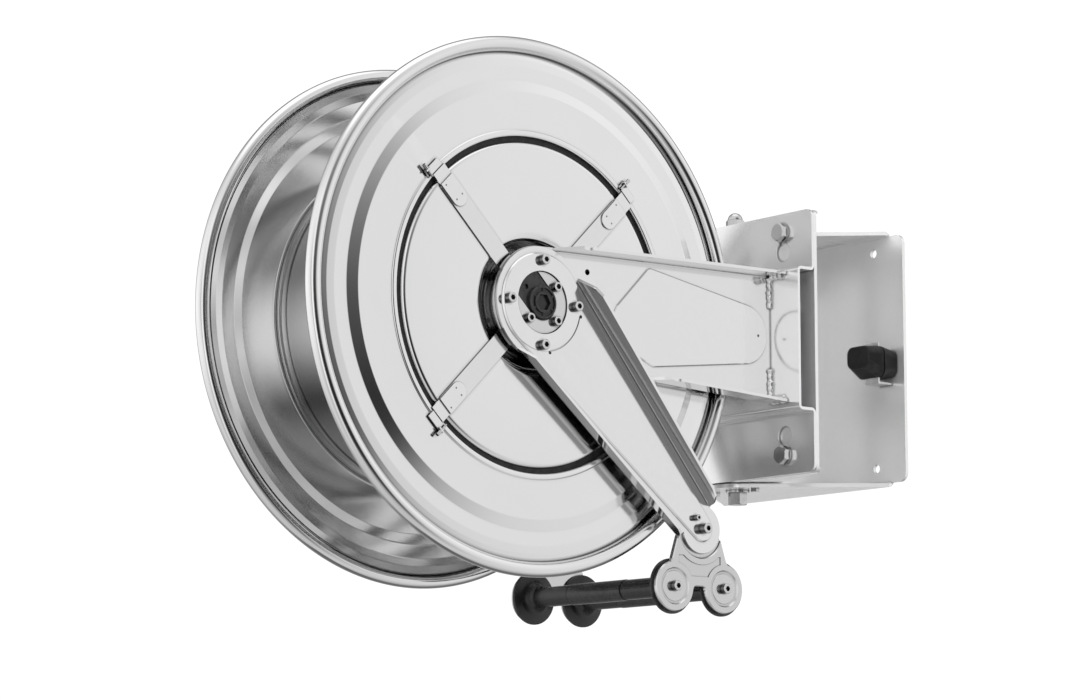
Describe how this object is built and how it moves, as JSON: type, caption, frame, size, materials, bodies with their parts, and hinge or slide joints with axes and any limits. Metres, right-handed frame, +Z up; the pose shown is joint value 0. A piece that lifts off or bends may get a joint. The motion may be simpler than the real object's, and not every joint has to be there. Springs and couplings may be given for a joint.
{
  "type": "fire hose reel",
  "caption": "Wall-mounted stainless fire hose reel: spring-wound drum between stamped arms on a swivelling bracket, with guide rollers and a plugged inlet.",
  "frame": {"origin": "centre of the wall plate's four-hole pattern, on its back face", "axes": "+X into the wall, +Y along the reel axis away from the inlet side, +Z up"},
  "size_m": [0.733, 0.307, 0.5582],
  "materials": {
    "stainless_sheet": "polished stainless steel sheet",
    "stainless_bright": "mirror-polished stainless steel",
    "bracket_steel": "satin stainless steel plate",
    "zinc_screws": "zinc-plated steel",
    "black_rubber": "moulded rubber",
    "black_plastic": "moulded polyamide",
    "bronze": "sintered bronze",
    "spring_steel": "blued spring steel strip",
    "turned_steel": "turned hub casting, matt"
  },
  "bodies": {
    "wall": {"wall_bracket": "bracket_steel", "bumpers": "black_rubber", "bumper_tabs": "zinc_screws", "pivot_bolt": "zinc_screws", "pivot_nut": "zinc_screws", "pad_screws": "zinc_screws"},
    "swivel": {"pivot_bushes": "black_plastic", "swivel_bracket": "bracket_steel", "base_channel": "stainless_sheet", "base_bolts": "zinc_screws", "base_nuts": "zinc_screws", "arm_front": "stainless_sheet", "arm_rear": "stainless_sheet", "outlet_arm_front": "stainless_sheet", "outlet_arm_rear": "stainless_sheet", "head_screws": "zinc_screws", "clamp_plate_front": "zinc_screws", "clamp_plate_rear": "zinc_screws", "clamp_screws": "zinc_screws", "inlet_body": "black_plastic", "inlet_plug": "black_plastic", "axle": "turned_steel", "roller_plate_front": "stainless_sheet", "roller_plate_rear": "stainless_sheet", "tail_screws": "zinc_screws", "tail_nuts": "zinc_screws", "roller_screws": "zinc_screws", "roller_axles": "zinc_screws", "spring_arbor": "turned_steel", "pawl_pin": "zinc_screws"},
    "drum": {"drum_flange_front": "stainless_bright", "drum_flange_rear": "stainless_bright", "side_disc_front": "stainless_bright", "side_disc_rear": "stainless_bright", "hub_front": "turned_steel", "hub_rear": "turned_steel", "hub_bushes": "bronze", "hub_screws": "zinc_screws", "tie_straps_front": "stainless_sheet", "tie_straps_rear": "stainless_sheet", "strap_clamps_front": "stainless_sheet", "strap_clamps_rear": "stainless_sheet", "strap_screws": "zinc_screws", "edge_seals": "black_rubber", "drum_shell": "stainless_sheet", "spring_case": "bracket_steel", "spiral_spring": "spring_steel", "water_collar": "turned_steel", "outlet_pipe": "turned_steel", "ratchet_wheel": "zinc_screws", "ratchet_screws": "zinc_screws"},
    "guide_roller_left": {"roller_left": "black_plastic"},
    "guide_roller_right": {"roller_right": "black_plastic"},
    "pawl": {"pawl": "zinc_screws"}
  },
  "joints": [
    {"name": "swivel", "type": "hinge", "parent": "wall", "child": "swivel", "pos_m": [-0.105, 0, 0], "axis": [0, 0, 1], "range_deg": [-33, 33]},
    {"name": "drum_spin", "type": "hinge", "parent": "swivel", "child": "drum", "pos_m": [-0.468, 0, 0.013], "axis": [0, 1, 0], "continuous": true},
    {"name": "roller_left_spin", "type": "hinge", "parent": "swivel", "child": "guide_roller_left", "pos_m": [-0.29582, 0, -0.25268], "axis": [0, 1, 0], "continuous": true},
    {"name": "roller_right_spin", "type": "hinge", "parent": "swivel", "child": "guide_roller_right", "pos_m": [-0.22982, 0, -0.25268], "axis": [0, 1, 0], "continuous": true},
    {"name": "pawl_swing", "type": "hinge", "parent": "swivel", "child": "pawl", "pos_m": [-0.406, 0.0985, 0.033], "axis": [0, 1, 0], "range_deg": [0, 25], "stiffness_Nm_per_rad": 0.05, "springref_deg": -17.19}
  ]
}
